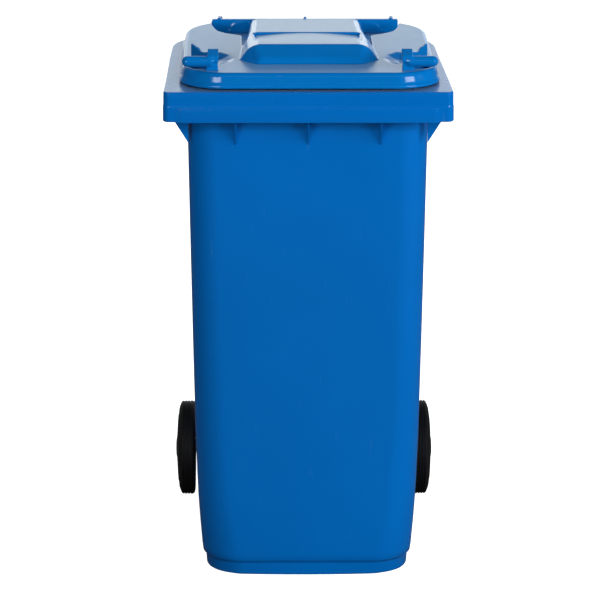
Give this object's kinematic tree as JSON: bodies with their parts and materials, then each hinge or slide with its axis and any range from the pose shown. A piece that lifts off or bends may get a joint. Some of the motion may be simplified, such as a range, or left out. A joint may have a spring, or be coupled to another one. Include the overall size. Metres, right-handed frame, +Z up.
{
  "type": "wheelie bin",
  "caption": "Two-wheeled plastic refuse bin with a hinged hooded lid, lifting-comb rim, rear handle bars and rubber-tyred wheels on a steel axle.",
  "frame": {"origin": "centre of the bin's footprint on the ground, under the middle of its bounding box", "axes": "+X to the right seen from the front, +Y to the rear where the handle and wheels are, +Z up; the front faces -Y"},
  "size_m": [0.574, 0.724, 1.091],
  "materials": {
    "body_plastic": "moulded polyethylene, semi-gloss blue with a fine grain",
    "lid_plastic": "moulded polyethylene, semi-gloss blue",
    "pin_plastic": "moulded blue plastic pin",
    "hub_plastic": "black moulded polypropylene",
    "tyre_rubber": "black solid rubber with circumferential ridges",
    "axle_steel": "zinc-plated steel rod",
    "spring_steel": "bright spring steel"
  },
  "bodies": {
    "bin_body": {"body_tub": "body_plastic", "hinge_pin_left": "pin_plastic", "hinge_pin_right": "pin_plastic", "axle": "axle_steel"},
    "lid_body": {"lid": "lid_plastic"},
    "wheel_left": {"wheel_hub_left": "hub_plastic", "tyre_left": "tyre_rubber", "hub_cap_left": "hub_plastic", "lock_spring_left": "spring_steel"},
    "wheel_right": {"wheel_hub_right": "hub_plastic", "tyre_right": "tyre_rubber", "hub_cap_right": "hub_plastic", "lock_spring_right": "spring_steel"},
    "lock_left": {"lock_pin_left": "spring_steel"},
    "lock_right": {"lock_pin_right": "spring_steel"}
  },
  "joints": [
    {"name": "lid_hinge", "type": "hinge", "parent": "bin_body", "child": "lid_body", "pos_m": [0, 0.346, 1.017], "axis": [-1, 0, 0], "range_deg": [0, 270]},
    {"name": "wheel_left_spin", "type": "hinge", "parent": "bin_body", "child": "wheel_left", "pos_m": [-0.26, 0.204, 0.103], "axis": [1, 0, 0], "continuous": true},
    {"name": "wheel_right_spin", "type": "hinge", "parent": "bin_body", "child": "wheel_right", "pos_m": [0.26, 0.204, 0.103], "axis": [1, 0, 0], "continuous": true},
    {"name": "lock_left_slide", "type": "slide", "parent": "wheel_left", "child": "lock_left", "axis": [0, 0, 1], "range_m": [0, 0.003], "stiffness_N_per_m": 600, "springref_m": -0.004, "deforming": ["lock_spring_left"]},
    {"name": "lock_right_slide", "type": "slide", "parent": "wheel_right", "child": "lock_right", "axis": [0, 0, 1], "range_m": [0, 0.003], "stiffness_N_per_m": 600, "springref_m": -0.004, "deforming": ["lock_spring_right"]}
  ]
}
